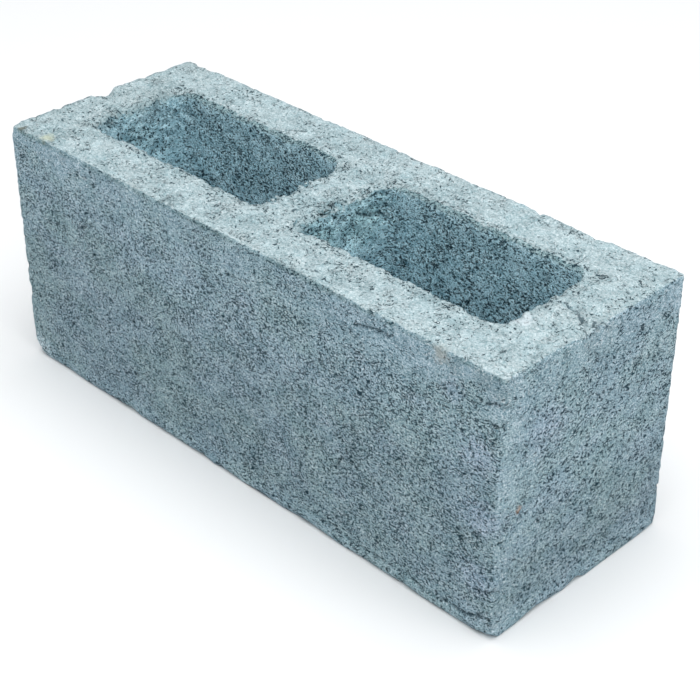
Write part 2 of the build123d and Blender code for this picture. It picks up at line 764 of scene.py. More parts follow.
    def refine(self) -> None:
        """Divides the whole surface into small even faces."""
        modifier = self.piece.modifiers.new("voxels", "REMESH")
        modifier.mode = "VOXEL"
        modifier.voxel_size = self.voxel
        apply_modifier(self.piece, modifier)

    def edge_distances(self, places: np.ndarray) -> tuple[np.ndarray, np.ndarray]:
        """Measures how far places lie from the block's edges.

        Args:
            places: an array of points, one a row.

        Returns:
            The distance of each to the nearest outer arris, and to the nearest core mouth.
        """
        from_end = self.half_length - np.abs(places[:, 0])
        from_side = self.half_width - np.abs(places[:, 1])
        from_bed = np.minimum(self.high.z - places[:, 2], places[:, 2] - self.low.z)
        outer = np.minimum.reduce([
            np.hypot(from_end, from_side), np.hypot(from_end, from_bed), np.hypot(from_side, from_bed),
        ])
        narrowing = self.core_draft * (self.high.z - places[:, 2]) / self.height
        mouth = np.full(len(places), np.inf)
        for centre in self.core_centres():
            past_x = np.abs(places[:, 0] - centre) - (self.core_length / 2 - narrowing)
            past_y = np.abs(places[:, 1]) - (self.core_half_width - narrowing)
            outside = np.hypot(np.maximum(past_x, 0), np.maximum(past_y, 0))
            from_wall = outside + np.abs(np.minimum(np.maximum(past_x, past_y), 0))
            mouth = np.minimum(mouth, np.hypot(from_wall, from_bed))
        return outer, mouth

    def paint_zones(self) -> None:
        """Paints each zone that has a relief of its own."""
        places = vertex_places(self.piece)
        outer, mouth = self.edge_distances(places)
        spared = self.spared_weights(places)
        on_bed = np.clip((places[:, 2] - self.high.z) / MM + self.bed_reach_mm, 0, 1)
        on_bed *= np.clip(outer / self.outer_arris_reach, self.rim_weight, 1)
        front_foot = np.hypot(places[:, 1] + self.half_width, places[:, 2] - self.low.z)
        zones = {
            Zone.OUTER_ARRIS: 1 - outer / self.outer_arris_reach,
            Zone.CORE_MOUTH: spared * (1 - mouth / self.core_mouth_reach),
            Zone.TOP_BED: on_bed * spared,
            Zone.WEB: self.web_weights(places),
            Zone.CRUMBLED: self.crumbled_weights(places),
            Zone.FRONT_FOOT: 1 - front_foot / self.front_foot_reach,
            Zone.CRACK: self.crack_weights(places),
        }
        for zone, weights in zones.items():
            paint_zone(self.piece, zone, weights)

    def crack_weights(self, places: np.ndarray) -> np.ndarray:
        """Measures how near places lie to a crack.

        Args:
            places: an array of points, one a row.

        Returns:
            1 on a crack's line, and 0 away from all cracks.
        """
        weights = np.zeros(len(places))
        for crack in self.cracks:
            weights = np.maximum(weights, crack.nearness(places))
        return weights

    def spared_weights(self, places: np.ndarray) -> np.ndarray:
        """Measures how far wear spares the rounded corners of the core mouths.

        Args:
            places: an array of points, one a row.

        Returns:
            Nearly 0 at those corners, and 1 away from them.
        """
        from_side = np.abs(np.abs(places[:, 1]) - self.core_half_width)
        weights = np.ones(len(places))
        for centre in self.core_centres():
            from_end = np.abs(np.abs(places[:, 0] - centre) - self.core_length / 2)
            weights = np.minimum(weights, np.hypot(from_end, from_side) / self.spared_reach)
        return np.clip(weights, self.spared_weight, 1)

    def web_weights(self, places: np.ndarray) -> np.ndarray:
        """Measures how near places lie to the top of the centre web.

        Args:
            places: an array of points, one a row.

        Returns:
            1 on the web's top and 0 away from it.
        """
        beyond = np.abs(places[:, 0]) - self.centre_web / 2
        below = self.high.z - places[:, 2]
        aside = np.abs(places[:, 1]) - self.core_half_width
        weights = np.clip(1 - beyond / self.web_reach, 0, 1) * np.clip(1 - below / self.web_drop, 0, 1)
        return weights * np.clip(1 - aside / self.web_overrun, 0, 1)

    def crumbled_weights(self, places: np.ndarray) -> np.ndarray:
        """Measures how near places lie to the core walls that crumble at the top.

        Args:
            places: an array of points, one a row.

        Returns:
            1 at the tops of the left end's wall and of the web's walls, and 0 away from them.
        """
        below = self.high.z - places[:, 2]
        aside = np.abs(places[:, 1]) - self.core_half_width
        weights = np.zeros(len(places))
        for wall in (self.end_wall - self.half_length, -self.centre_web / 2, self.centre_web / 2):
            side = -1 if wall == -self.centre_web / 2 else 1
            from_wall = np.abs(places[:, 0] - wall - side * self.core_draft * below / self.height)
            weights = np.maximum(weights, 1 - from_wall / self.crumbled_reach)
        weights = np.clip(weights * self.crumbled_gain, 0, 1)
        weights *= np.clip(1 - below / self.crumbled_drop, 0, 1)
        return weights * np.clip(1 - aside / self.crumbled_overrun, 0, 1)

    def paint_cracks(self) -> None:
        """Writes how near each vertex lies to a crack, for the finish to paint shade into it."""
        weights = self.crack_weights(vertex_places(self.piece))
        attribute = self.piece.data.attributes.new(CRACK_ATTRIBUTE, "FLOAT", "POINT")
        attribute.data.foreach_set("value", weights.astype(np.float32))

    def keep_in_box(self) -> None:
        """Moves what stands out of the block's box back to its face."""
        mesh = self.piece.data
        places = np.clip(vertex_places(self.piece), np.array(self.low), np.array(self.high))
        mesh.vertices.foreach_set("co", places.ravel())
        mesh.update()

    def thin_out(self) -> None:
        """Leaves fewer triangles, fewest where the block hides them, and keeps it in its box."""
        self.keep_in_box()
        mesh = self.piece.data
        places = vertex_places(self.piece)
        hidden = np.clip((self.high.z - places[:, 2]) / self.hidden_drop - 1, 0, 1)
        in_core = np.zeros(len(places), bool)
        for centre in self.core_centres():
            near_x = np.abs(places[:, 0] - centre) < self.core_length / 2 + MM / 2
            in_core |= near_x & (np.abs(places[:, 1]) < self.core_half_width + MM / 2)
        underside = places[:, 2] < self.low.z + self.underside_reach
        weights = np.where(in_core | underside, hidden, 0.0)
        paint_zone(self.piece, Zone.HIDDEN, np.maximum(weights, self.open_weight))
        triangles = sum(len(face.vertices) - 2 for face in mesh.polygons)
        modifier = self.piece.modifiers.new("thin", "DECIMATE")
        modifier.ratio = min(1, self.most_triangles / triangles)
        modifier.use_collapse_triangulate = True
        modifier.vertex_group = Zone.HIDDEN.value
        modifier.vertex_group_factor = 1.0
        apply_modifier(self.piece, modifier)
        self.keep_in_box()
        self.piece.vertex_groups.clear()
        bpy.ops.object.shade_smooth()
        self.paint_cracks()
        log.info("%s: %d triangles from %d", self.piece.name, len(mesh.polygons), triangles)


@dataclass(frozen=True)
class Noise:
    """A noise over the surface, with values from about 0 to 1.

    size: about how far its features lie apart, in millimetres.
    detail: how many finer layers it has.
    roughness: how strong each finer layer is.
    distortion: how much it is warped.
    """

    size: float
    detail: float
    roughness: float
    distortion: float = 0.0


@dataclass(frozen=True)
class Step:
    """A smooth step from one result to another.

    start, end: the values at which it begins and ends.
    low, high: the results before and after it.
    """

    start: float
    end: float
    low: float = 0.0
    high: float = 1.0


@dataclass(frozen=True)
class Patches:
    """Soft patches: a noise that a step sorts into high and low places."""

    noise: Noise
    step: Step


@dataclass(frozen=True)
class Lines:
    """Winding lines that break off and start again.

    noise: the noise whose middle value the lines follow.
    width: how wide they are, as a share of the noise's range.
    gap_noise: the noise that breaks them.
    gap_share: the value of that noise under which a line is broken.
    """

    noise: Noise
    width: float
    gap_noise: Noise
    gap_share: float


class Board:
    """A material's node board, with short ways to add the nodes that the finishes use."""

    def __init__(self, name: str) -> None:
        """Makes a material and clears its board.

        Args:
            name: the material's name.
        """
        self.material = bpy.data.materials.new(name)
        self.material.use_nodes = True
        self.tree = self.material.node_tree
        self.tree.nodes.clear()

    def add(self, kind: str, inputs: dict | None = None, **settings: object) -> bpy.types.Node:
        """Adds a node.

        Args:
            kind: the node's type.
            inputs: values or sockets for its inputs, by name or number.
            settings: its other properties.

        Returns:
            The node.
        """
        node = self.tree.nodes.new(kind)
        for name, value in settings.items():
            setattr(node, name, value)
        for name, value in (inputs or {}).items():
            if isinstance(value, Socket):
                self.tree.links.new(value, node.inputs[name])
            else:
                node.inputs[name].default_value = value
        return node

    def math(self, operation: str, *values: float | Socket) -> Socket:
        """Adds a Math node.

        Args:
            operation: what it does.
            values: numbers or sockets, in the order of its inputs.

        Returns:
            Its output.
        """
        return self.add("ShaderNodeMath", dict(enumerate(values)), operation=operation).outputs[0]

    def fold(self, operation: str, first: float | Socket, *others: float | Socket) -> Socket:
        """Joins values two at a time with one operation.

        Args:
            operation: what each Math node does.
            first: the first number or socket.
            others: those that are joined to it in turn.

        Returns:
            The last node's output.
        """
        for other in others:
            first = self.math(operation, first, other)
        return first

    def noise(self, place: Socket, noise: Noise) -> Socket:
        """Adds a noise.

        Args:
            place: the coordinates, in millimetres.
            noise: its size and its layers.

        Returns:
            Its value, from about 0 to 1.
        """
        inputs = {
            "Vector": place, "Scale": 1 / noise.size, "Detail": noise.detail,
            "Roughness": noise.roughness, "Distortion": noise.distortion,
        }
        return self.add("ShaderNodeTexNoise", inputs).outputs["Fac"]

    def step(self, value: Socket, step: Step) -> Socket:
        """Adds a smooth step.

        Args:
            value: what is mapped.
            step: where the step lies, and its results.

        Returns:
            Its result.
        """
        inputs = {
            "Value": value, "From Min": step.start, "From Max": step.end,
            "To Min": step.low, "To Max": step.high,
        }
        return self.add("ShaderNodeMapRange", inputs, interpolation_type="SMOOTHSTEP").outputs["Result"]

    def patches(self, place: Socket, patches: Patches) -> Socket:
        """Adds soft patches over coordinates in millimetres, and returns their value."""
        return self.step(self.noise(place, patches.noise), patches.step)

    def mix_values(self, share: Socket, under: float | Socket, over: float | Socket) -> Socket:
        """Mixes two values by the share of the second one, and returns the result."""
        return self.add("ShaderNodeMix", {0: share, 2: under, 3: over}, data_type="FLOAT").outputs[0]

    def mix(
        self, share: float | Socket, under: Colour | Socket, over: Colour | Socket, blend: str = "MIX",
    ) -> Socket:
        """Adds a mix of colours.

        Args:
            share: how much of the upper colour shows.
            under: the lower colour.
            over: the upper colour.
            blend: how they are mixed.

        Returns:
            The mixed colour.
        """
        lower, upper = (
            colour if isinstance(colour, Socket) else (*colour, 1) for colour in (under, over)
        )
        node = self.add("ShaderNodeMix", data_type="RGBA", blend_type=blend)
        for number, value in ((0, share), (6, lower), (7, upper)):
            if isinstance(value, Socket):
                self.tree.links.new(value, node.inputs[number])
            else:
                node.inputs[number].default_value = value
        return node.outputs[2]


@dataclass(frozen=True)
class WeatheredConcrete:
    """The finish of the block: blue-grey concrete, pitted all over, with a paler top bed, and cores whose
    paler colour is painted light.

    Colours are linear, and sizes, depths and places are in millimetres.
    """

    name: str = "weathered_concrete"

    # Colours of the outer faces, of the film of cement on them, of the cores and of the top bed. The cores'
    # colour is painted light: far paler than the faces', to stand in for the light that doesn't reach into
    # them
    cool: Colour = (0.248, 0.393, 0.465)
    teal: Colour = (0.244, 0.393, 0.438)
    film: Colour = (0.236, 0.385, 0.458)
    core: Colour = (0.382, 0.648, 0.742)
    bed: Colour = (0.330, 0.453, 0.484)
    darker_left_bed: Colour = (0.293, 0.405, 0.431)

    # Colours of the pits, near black as painted shade in the hollows, and of the crumbs, and shades that
    # multiply the colour under them
    pit_painted_shade: Colour = (0.006, 0.034, 0.052)
    crumb: Colour = (0.60, 0.74, 0.78)
    dark_grain: Colour = (0.21, 0.38, 0.43)
    light_grain: Colour = (2.10, 1.68, 1.60)
    dark_tone: Colour = (0.82, 0.87, 0.88)
    light_tone: Colour = (1.22, 1.15, 1.13)
    # Painted shade, with some dirt, under the front top arris; and the share of the cores' painted light
    # kept at their lips
    under_arris_shade_and_dirt: Colour = (0.60, 0.65, 0.62)
    lip_shade: Colour = (0.50, 0.50, 0.48)
    no_shade: Colour = (1.0, 1.0, 1.0)

    # Sheen
    roughness: float = 0.93
    specular: float = 0.25

    # Where the bed's colour ends at the outer arrises, and round the core mouths, a little out from the
    # mouths, most at the back, so that the strip between takes the darker mouth colour as painted shade of
    # their rounding
    half_length: float = 195.0
    bed_front: float = -69.5
    bed_back: float = 70.0
    mouth_left: float = -161.0
    mouth_right: float = 159.0
    mouth_front: float = -33.6
    mouth_back: float = 37.0
    half_web: float = 20.0
    mouth_corner_radius: float = 11.0
    rim_noise: Noise = Noise(5, 3, 0.6)
    rim_waver: float = 2.0
    rim_step: Step = Step(-0.6, 0.6)

    # Where the surface turns to an end and to the bed, and where the core walls are
    end_turn: Step = Step(0.4, 0.8)
    bed_turn: Step = Step(0.25, 0.70)
    bed_height: Step = Step(154.0, 156.5)
    core_middle: float = 89.0
    core_ends: Step = Step(81.0, 78.0)
    core_sides: Step = Step(43.0, 40.0)

    # Where the film of cement lies: under the top arrises, and at the front of the ends
    film_height: Step = Step(126, 148)
    film_at_end: Step = Step(3, 1, 1.0, 0.9)
    film_from_middle: Step = Step(40, 120, 0.55, 1.0)
    end_film: Step = Step(3, 1, 0.0, 0.7)
    end_film_front: Step = Step(-28, -60)
    film_patches: Patches = Patches(Noise(20, 3, 0.6), Step(0.36, 0.58))
    end_film_share: float = 0.6

    # How the tone changes over the faces, under the front top arris and at the lips of the cores, much of
    # it painted light and shade
    blotches: Patches = Patches(Noise(40, 3, 0.6), Step(0.36, 0.64))
    tones: Patches = Patches(Noise(18, 5, 0.72), Step(0.25, 0.75))
    bed_tones: Patches = Patches(Noise(7, 4, 0.65), Step(0.30, 0.70, 0.84, 1.13))
    # Painted light and shade: the faces darker towards the foot, the ends darker than the front, and the
    # worn foot, which turns down into shade, lighter
    front_painted_light: Step = Step(70, 125, 0.90, 1.035)
    end_painted_light: Step = Step(20, 95, 0.815, 0.985)
    foot_painted_light: Step = Step(20, 4, 1.0, 1.27)
    # Painted shade, with some dirt, in a line under the front top arris
    under_arris_height: Step = Step(156.3, 158.2)
    under_arris_front: Step = Step(-66.0, -68.0)
    under_arris_patches: Patches = Patches(Noise(9, 2, 0.6), Step(0.30, 0.62, 0.35, 1.0))
    # Where the cores' painted light is halved: on the upward slopes near their mouths
    lip_height: Step = Step(150, 157)
    lip_turn: Step = Step(0.10, 0.75)
    # The bed darker at its left end
    darker_left_bed_end: Step = Step(-146, -166)
    darker_left_bed_patches: Patches = Patches(Noise(24, 3, 0.6), Step(0.30, 0.60, 0.5, 1.0))

    # What is added to the noise of the pits, in crowds and in each part: the more, the fewer pits
    crowds: Patches = Patches(Noise(13, 3, 0.6), Step(0.30, 0.70, 0.03, -0.03))
    bed_calm: float = 0.035
    film_calm: float = 0.075
    core_calm: float = -0.008
    end_calm: float = 0.006
    end_wall_calm: float = 0.012

    # Pits, holes, worm-shaped hollows and hairlines
    flattening: tuple[float, float, float] = (1.0, 1.0, 1.5)
    pit_noise: Noise = Noise(1.7, 3, 0.62, 0.25)
    pit_step: Step = Step(0.443, 0.40)
    pit_depth: float = 0.6
    # How far the near-black pit colour, painted shade, covers the hollows
    pit_painted_shade_share: float = 0.95
    hole_noise: Noise = Noise(7.0, 5, 0.68, 0.4)
    hole_step: Step = Step(0.355, 0.33)
    hole_depth: float = 1.1
    worms: Lines = Lines(Noise(4.5, 1.5, 0.62, 0.5), 0.030, Noise(3.0, 2, 0.5), 0.50)
    hairlines: Lines = Lines(Noise(7.5, 4, 0.62, 0.5), 0.012, Noise(9, 2, 0.5), 0.52)
    line_end: float = 0.08
    hairline_share: float = 0.40
    bed_hairline_share: float = 0.45
    core_hairline_share: float = 0.2

    # Cracks that are pressed into the surface
    crack_noise: Noise = Noise(2.2, 3, 0.6)
    crack_unevenness: float = 1.5
    crack_step: Step = Step(1.15, 1.55)
    crack_patches: Patches = Patches(Noise(5, 2, 0.5), Step(0.36, 0.50, 0.30, 0.78))

    # Crumbs and grit, and how plain the grit's colour is on the bed and on the cores' end walls
    crumb_step: Step = Step(0.60, 0.68, 0.0, 0.35)
    grit_noise: Noise = Noise(0.9, 2, 0.6)
    grit_depth: float = 0.35
    grain_step: Step = Step(0.20, 0.80)
    bed_plainness: float = 0.5
    end_wall_plainness: float = 0.35

    # Stains, and smears under the grain, some of them painted light and shade, with the ragged rim that
    # both have
    stain_noise: Noise = Noise(3.5, 2, 0.6)
    stain_rim: float = 0.3
    stain_middle: float = -0.4
    smears: Sequence[Stain] = ()
    stains: Sequence[Stain] = ()

    def material(self) -> bpy.types.Material:
        """Returns the new material."""
        return ConcreteBoard(self).build()


class ConcreteBoard(Board):
    """The board of the concrete, with the sockets that its colour and its relief share.

    place, flat: the coordinates in millimetres, and the same squeezed so that patterns lie flat.
    along, across, up: the place along the block, across it, and over the underside.
    from_middle, from_end: how far it is along the block from the middle and from the nearer end.
    upward: how far the surface faces up, from -1 to 1.
    at_end, inside, end_wall: 1 on faces across the block, in the cores, and where both hold.
    bed, film: 1 on the top bed within its rims, and where a film of cement lies.
    ragged: the noise that makes the rims of stains ragged.
    """

    def __init__(self, finish: WeatheredConcrete) -> None:
        """Clears the board, and adds the coordinates and the masks.

        Args:
            finish: the values of the finish.
        """
        super().__init__(finish.name)
        self.finish = finish
        coordinates = self.add("ShaderNodeTexCoord").outputs
        scaled = {0: coordinates["Object"], "Scale": 1 / MM}
        self.place = self.add("ShaderNodeVectorMath", scaled, operation="SCALE").outputs["Vector"]
        squeezed = {0: self.place, 1: finish.flattening}
        self.flat = self.add("ShaderNodeVectorMath", squeezed, operation="MULTIPLY").outputs["Vector"]
        self.along, self.across, self.up = self.add("ShaderNodeSeparateXYZ", {0: self.place}).outputs
        normal = self.add("ShaderNodeSeparateXYZ", {0: coordinates["Normal"]}).outputs
        self.upward = normal["Z"]
        self.from_middle = self.math("ABSOLUTE", self.along)
        self.from_end = self.math("SUBTRACT", finish.half_length, self.from_middle)
        self.at_end = self.step(self.math("ABSOLUTE", normal["X"]), finish.end_turn)
        self.inside = self.core_mask()
        self.end_wall = self.math("MULTIPLY", self.inside, self.at_end)
        self.bed = self.fold(
            "MULTIPLY", self.step(self.up, finish.bed_height), self.step(self.upward, finish.bed_turn),
            self.rim_mask(),
        )
        self.film = self.film_mask()
        # A soft spot of another colour on the concrete; some are painted light and shade.
        self.ragged = self.noise(self.place, finish.stain_noise)

    def core_mask(self) -> Socket:
        """Finds the cores.

        Returns:
            1 in the cores, and 0 elsewhere.
        """
        past_centre = self.math("SUBTRACT", self.from_middle, self.finish.core_middle)
        in_length = self.step(self.math("ABSOLUTE", past_centre), self.finish.core_ends)
        in_width = self.step(self.math("ABSOLUTE", self.across), self.finish.core_sides)
        return self.math("MULTIPLY", in_length, in_width)

    def rim_mask(self) -> Socket:
        """Finds the bed away from its rims at the outer arrises and the core mouths, where the strip beside
        a mouth is left to the darker mouth colour, painted shade of its rounding.

        Returns:
            1 on the bed, and 0 at its rims.
        """
        finish = self.finish
        from_back = self.math("SUBTRACT", finish.bed_back, self.across)
        from_front = self.math("SUBTRACT", self.across, finish.bed_front)
        past_right = self.math("SUBTRACT", self.along, finish.mouth_right)
        past_left = self.math("SUBTRACT", finish.mouth_left, self.along)
        past_web = self.math("SUBTRACT", finish.half_web, self.from_middle)
        past_back = self.math("SUBTRACT", self.across, finish.mouth_back)
        past_front = self.math("SUBTRACT", finish.mouth_front, self.across)
        past_x = self.fold("MAXIMUM", past_right, past_left, past_web)
        past_x = self.math("ADD", past_x, finish.mouth_corner_radius)
        past_y = self.math("MAXIMUM", past_back, past_front)
        past_y = self.math("ADD", past_y, finish.mouth_corner_radius)
        beyond = self.add("ShaderNodeCombineXYZ", {
            0: self.math("MAXIMUM", past_x, 0.0), 1: self.math("MAXIMUM", past_y, 0.0),
        }).outputs[0]
        outside = self.add("ShaderNodeVectorMath", {0: beyond}, operation="LENGTH").outputs["Value"]
        within = self.math("MINIMUM", self.math("MAXIMUM", past_x, past_y), 0.0)
        past_mouth = self.math("SUBTRACT", self.math("ADD", outside, within), finish.mouth_corner_radius)
        rim = self.fold("MINIMUM", from_back, from_front, self.from_end, past_mouth)
        waver = self.noise(self.place, finish.rim_noise)
        return self.step(self.math("MULTIPLY_ADD", waver, -finish.rim_waver, rim), finish.rim_step)

    def film_mask(self) -> Socket:
        """Finds where a smooth film of cement lies.

        Returns:
            1 where the film is whole, and 0 where there is none.
        """
        finish = self.finish
        beside = self.math(
            "MULTIPLY", self.step(self.from_end, finish.end_film),
            self.step(self.across, finish.end_film_front),
        )
        under = self.fold(
            "MULTIPLY", self.step(self.up, finish.film_height),
            self.step(self.from_end, finish.film_at_end),
            self.step(self.from_middle, finish.film_from_middle),
        )
        near = self.math("MAXIMUM", under, beside)
        patches = self.patches(self.place, finish.film_patches)
        return self.fold("MULTIPLY", near, patches, self.math("SUBTRACT", 1.0, self.inside))

    def calm(self) -> Socket:
        """Finds how calm the surface is.

        Returns:
            What is added to the noise of the pits: the more, the fewer pits there are.
        """
        finish = self.finish
        calm = self.patches(self.place, finish.crowds)
        parts = (
            (self.bed, finish.bed_calm),
            (self.film, finish.film_calm),
            (self.inside, finish.core_calm),
            (self.at_end, finish.end_calm),
            (self.end_wall, finish.end_wall_calm),
        )
        for mask, share in parts:
            calm = self.math("MULTIPLY_ADD", mask, share, calm)
        return calm

    def lines(self, place: Socket, lines: Lines, calm: float | Socket = 0.0) -> Socket:
        """Draws winding lines.

        Args:
            place: the coordinates, in millimetres.
            lines: how they run.
            calm: how much more of them is left out where the surface is calmer.

        Returns:
            1 on a line, and 0 beside it.
        """
        ridge = self.math("ABSOLUTE", self.math("SUBTRACT", self.noise(place, lines.noise), 0.5))
        line = self.step(ridge, Step(lines.width, lines.width / 4))
        gaps = self.math("SUBTRACT", self.noise(place, lines.gap_noise), calm)
        whole = self.step(gaps, Step(lines.gap_share, lines.gap_share + self.finish.line_end))
        return self.math("MULTIPLY", line, whole)

    def hairlines(self) -> Socket:
        """Draws hairline cracks round loose flakes, most of them on the bed and in the cores.

        Returns:
            More than 0 in a crack, and 0 beside it.
        """
        finish = self.finish
        share = self.math("MULTIPLY_ADD", self.bed, finish.bed_hairline_share, finish.hairline_share)
        share = self.math("MULTIPLY_ADD", self.inside, finish.core_hairline_share, share)
        return self.math("MULTIPLY", self.lines(self.place, finish.hairlines), share)

    def cracks(self) -> Socket:
        """Finds the cracks that are pressed into the surface.

        Returns:
            How far the pits' painted shade fills them, and 0 beside them.
        """
        finish = self.finish
        crack = self.add("ShaderNodeAttribute", attribute_name=CRACK_ATTRIBUTE).outputs["Fac"]
        noise = self.noise(self.place, finish.crack_noise)
        uneven = self.math("MULTIPLY_ADD", noise, finish.crack_unevenness, crack)
        broken = self.patches(self.place, finish.crack_patches)
        return self.math("MULTIPLY", self.step(uneven, finish.crack_step), broken)

    def shade(self, share: float | Socket, colour: Socket, shade: Colour | Socket) -> Socket:
        """Multiplies a colour by a shade, as far as a share says, and returns the result."""
        return self.mix(share, colour, shade, "MULTIPLY")

    def grey(self, value: Socket) -> Socket:
        """Turns a value into a grey, which may be brighter than white."""
        return self.add("ShaderNodeCombineColor", {0: value, 1: value, 2: value}).outputs[0]

    def stained(self, colour: Socket, stain: Stain) -> Socket:
        """Lays a stain over a colour.

        Args:
            colour: the colour under the stain.
            stain: the stain.

        Returns:
            The stained colour.
        """
        reach = stain.reach / MM
        ends = {0: self.place, 1: stain.place / MM}
        gap = self.add("ShaderNodeVectorMath", ends, operation="DISTANCE").outputs["Value"]
        spread = self.math("MULTIPLY_ADD", self.ragged, -reach, gap)
        fade = Step(self.finish.stain_rim * reach, self.finish.stain_middle * reach, 0.0, stain.strength)
        return self.mix(self.step(spread, fade), colour, stain.colour)

    def faces_colour(self) -> Socket:
        """Mixes the colour of the outer faces, with their film, painted light and shade over their height
        and sides, and painted shade with some dirt under the front top arris.

        Returns:
            The colour.
        """
        finish = self.finish
        colour = self.mix(self.patches(self.flat, finish.blotches), finish.cool, finish.teal)
        film = self.math("MULTIPLY", self.film, self.mix_values(self.at_end, 1.0, finish.end_film_share))
        colour = self.mix(film, colour, finish.film)
        # Painted light and shade: darker towards the foot, the ends darker than the front, and the worn
        # foot lighter
        front_painted_light = self.step(self.up, finish.front_painted_light)
        end_painted_light = self.step(self.up, finish.end_painted_light)
        painted_light = self.mix_values(self.at_end, front_painted_light, end_painted_light)
        painted_light = self.math("MULTIPLY", painted_light, self.step(self.up, finish.foot_painted_light))
        colour = self.shade(1.0, colour, self.grey(painted_light))
        # Painted shade, with some dirt, in a line under the front top arris
        under_arris = self.fold(
            "MULTIPLY", self.step(self.up, finish.under_arris_height),
            self.step(self.across, finish.under_arris_front), self.patches(self.place, finish.under_arris_patches),
        )
        return self.shade(under_arris, colour, finish.under_arris_shade_and_dirt)

    def ground(self) -> Socket:
        """Mixes the colour of all parts, without the pits and the grain.

        Returns:
            The colour.
        """
        finish = self.finish
        # The cores' paler colour is painted light, for the light that doesn't reach into them
        colour = self.mix(self.inside, self.faces_colour(), finish.core)
        for smear in finish.smears:
            colour = self.stained(colour, smear)
        # The cores' painted light halved on the upward slopes near their mouths
        lip = self.fold(
            "MULTIPLY", self.step(self.up, finish.lip_height), self.step(self.upward, finish.lip_turn),
            self.inside,
        )
        colour = self.shade(lip, colour, finish.lip_shade)
        # The bed darker at its left end
        darker_left_bed_share = self.math(
            "MULTIPLY", self.step(self.along, finish.darker_left_bed_end),
            self.patches(self.place, finish.darker_left_bed_patches),
        )
        colour = self.mix(self.bed, colour, self.mix(darker_left_bed_share, finish.bed, finish.darker_left_bed))
        tone = self.mix(self.patches(self.flat, finish.tones), finish.dark_tone, finish.light_tone)
        colour = self.shade(1.0, colour, tone)
        return self.shade(self.bed, colour, self.grey(self.patches(self.place, finish.bed_tones)))

    def build(self) -> bpy.types.Material:
        """Adds the pits, whose near-black colour is painted shade, the grain and the stains to the colour,
        and the relief to the shader.

        Returns:
            The finished material.
        """
        finish = self.finish
        calm = self.calm()
        fine = self.math("ADD", self.noise(self.flat, finish.pit_noise), calm)
        coarse = self.math("ADD", self.noise(self.flat, finish.hole_noise), calm)
        worms = self.lines(self.flat, finish.worms, calm)
        pits = self.math("MAXIMUM", self.step(fine, finish.pit_step), worms)
        holes = self.step(coarse, finish.hole_step)
        hairlines = self.hairlines()
        hollow = self.fold("MAXIMUM", pits, holes, hairlines, self.cracks())
        grit = self.noise(self.flat, finish.grit_noise)

        colour = self.mix(self.step(fine, finish.crumb_step), self.ground(), finish.crumb)
        grain = self.mix(self.step(grit, finish.grain_step), finish.dark_grain, finish.light_grain)
        plain = self.math("MULTIPLY", self.end_wall, finish.end_wall_plainness)
        plain = self.math("MULTIPLY_ADD", self.bed, finish.bed_plainness, plain)
        colour = self.shade(1.0, colour, self.mix(plain, grain, finish.no_shade))
        # Painted shade: the pits, holes, hairlines and cracks take the near-black pit colour
        colour = self.mix(self.math("MULTIPLY", hollow, finish.pit_painted_shade_share), colour, finish.pit_painted_shade)
        for stain in finish.stains:
            colour = self.stained(colour, stain)

        height = self.math("MULTIPLY", pits, -finish.pit_depth)
        height = self.math("MULTIPLY_ADD", holes, -finish.hole_depth, height)
        height = self.math("MULTIPLY_ADD", hairlines, -finish.pit_depth, height)
        height = self.math("MULTIPLY_ADD", grit, finish.grit_depth, height)
        bump = self.add("ShaderNodeBump", {"Strength": 1.0, "Distance": MM, "Height": height})
        shader = self.add("ShaderNodeBsdfPrincipled", {
            "Base Color": colour, "Roughness": finish.roughness, "Specular IOR Level": finish.specular,
            "Normal": bump.outputs["Normal"],
        })
        self.add("ShaderNodeOutputMaterial", {"Surface": shader.outputs["BSDF"]})
        return self.material


@dataclass(frozen=True)
class Softbox:
    """A square light. Its size is its side in metres, and its power is in watts."""

    name: str
    place: Vector
    size: float
    power: float


